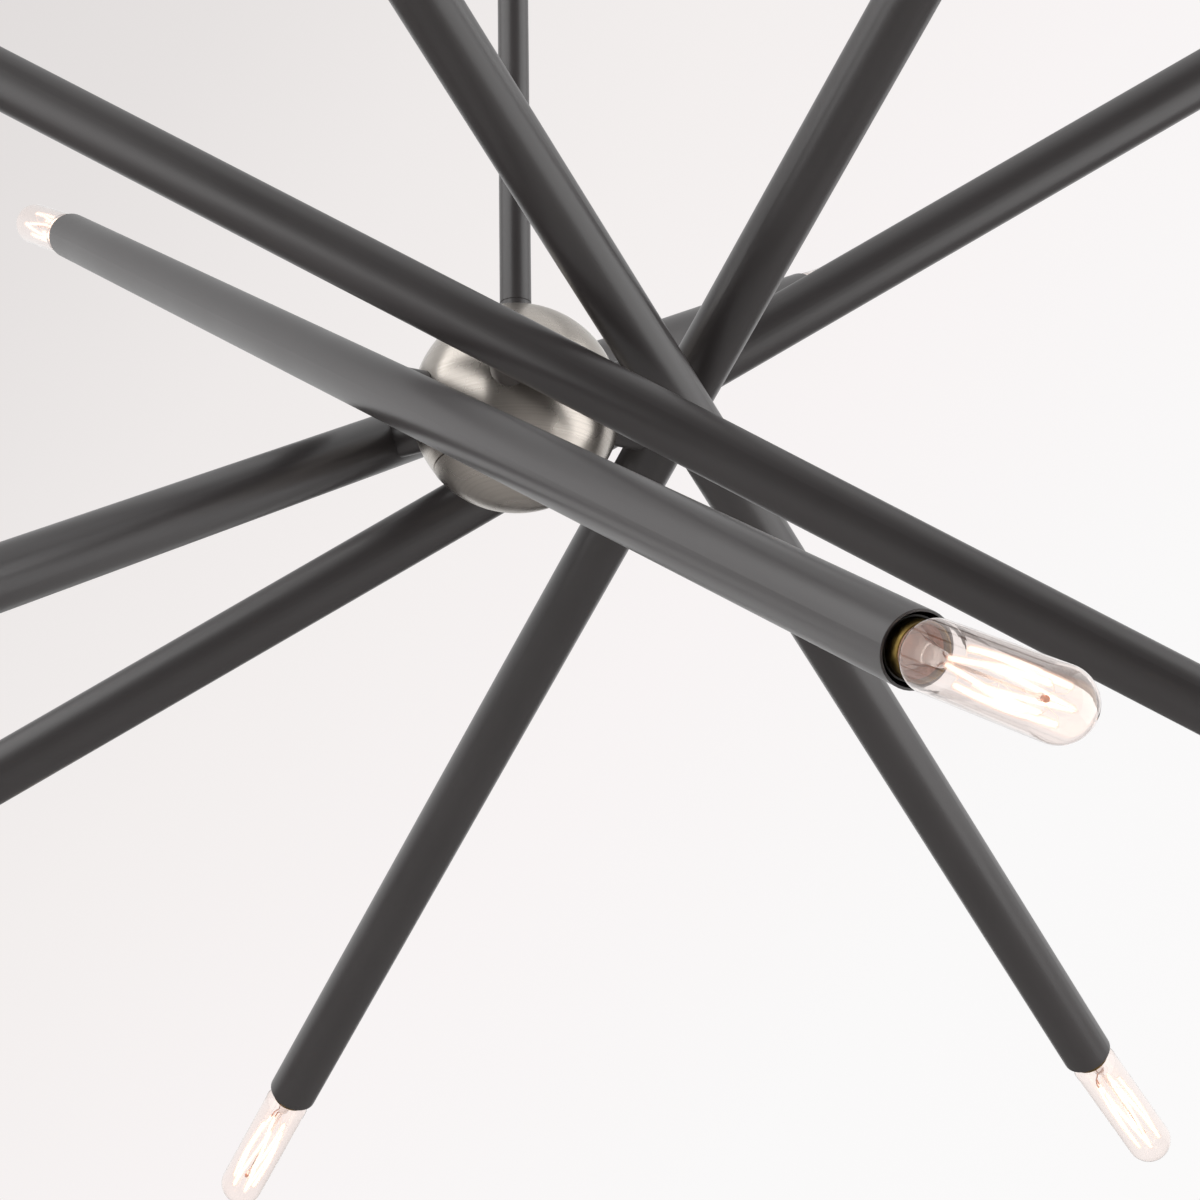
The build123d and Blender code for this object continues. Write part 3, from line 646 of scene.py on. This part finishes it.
def studio_world():
    """The object is lit by a room that is dark in front, white behind and grey above. The camera,
    and what is seen through glass, meets a white sweep instead, greyer towards the upper left."""
    world = bpy.data.worlds.new("studio")
    bpy.context.scene.world = world
    world.use_nodes = True
    tree = world.node_tree
    tree.nodes.clear()
    way = add(tree, "ShaderNodeTexCoord").outputs["Generated"]
    parts = add(tree, "ShaderNodeSeparateXYZ", {"Vector": way}).outputs
    depth = add(tree, "ShaderNodeMapRange", {"Value": parts["Y"], "From Min": -1.0, "From Max": 1.0})
    wall_grey = add(tree, "ShaderNodeValToRGB", {"Fac": depth},
                    [(place, grey(value)) for place, value in ROOM])
    walls = add(tree, "ShaderNodeBackground", {"Color": wall_grey, "Strength": 1.0})
    ceiling = add(tree, "ShaderNodeBackground", {"Color": grey(CEILING_GREY), "Strength": 1.0})
    rise = add(tree, "ShaderNodeMapRange", {"Value": parts["Z"], "From Min": 0.45, "From Max": 0.9})
    room = add(tree, "ShaderNodeMixShader", {0: rise, 1: walls, 2: ceiling})
    slope = add(tree, "ShaderNodeVectorMath", {0: way, 1: SWEEP_WAY}, operation="DOT_PRODUCT")
    shade = add(tree, "ShaderNodeMapRange", {
        "Value": slope.outputs["Value"], "From Min": -0.65, "From Max": -0.10})
    white = add(tree, "ShaderNodeValToRGB", {"Fac": shade},
                [(place, srgb(code)) for place, code in SWEEP])
    sweep = add(tree, "ShaderNodeBackground", {"Color": white, "Strength": 1.0})
    seen = add(tree, "ShaderNodeMixShader", {0: shown(tree), 1: room, 2: sweep})
    add(tree, "ShaderNodeOutputWorld", {"Surface": seen})


def softbox(name, place, width, height, power):
    """A rectangular light turned to the ball. The camera doesn't see it, not even through glass."""
    light = bpy.data.lights.new(name, "AREA")
    light.shape = "RECTANGLE"
    light.size, light.size_y = width, height
    light.energy = power
    lamp = bpy.data.objects.new(name, light)
    lamp.location = place
    lamp.visible_camera = False
    lamp.visible_transmission = False
    lamp.rotation_mode = "QUATERNION"
    lamp.rotation_quaternion = (HUB - Vector(place)).to_track_quat("-Z", "Y")
    bpy.context.scene.collection.objects.link(lamp)


LENS_MM, SENSOR_MM = 95.05, 36.0
CAMERA_FROM_HUB = Vector((0.0979, -1.7781, -0.7410))
PICTURE_RIGHT = Vector((0.99931, 0.03338, -0.01657))
PICTURE_DOWN = Vector((-0.02657, 0.32665, -0.94477))


def photo_camera():
    """Low and close, looking up past the ball with a long lens, as the photograph does."""
    data = bpy.data.cameras.new("photo_camera")
    data.lens, data.sensor_width = LENS_MM, SENSOR_MM
    data.clip_start, data.clip_end = 0.05, 60.0
    ahead = PICTURE_RIGHT.cross(PICTURE_DOWN)
    turn = Matrix((PICTURE_RIGHT, -PICTURE_DOWN, -ahead)).transposed().to_4x4()
    cam = bpy.data.objects.new("photo_camera", data)
    cam.matrix_world = Matrix.Translation(HUB + CAMERA_FROM_HUB) @ turn
    bpy.context.scene.collection.objects.link(cam)
    bpy.context.scene.camera = cam


pale_floor()
studio_world()
softbox("top_softbox", (0.2, -0.2, 1.9), 2.6, 2.6, 7.0)
softbox("left_softbox", (-1.64, -0.92, HUB_Z + 0.45), 2.4, 3.4, 43.0)
softbox("right_softbox", (1.86, -0.38, HUB_Z + 0.15), 2.0, 3.6, 36.0)
photo_camera()
bpy.context.scene.view_settings.view_transform = "Standard"
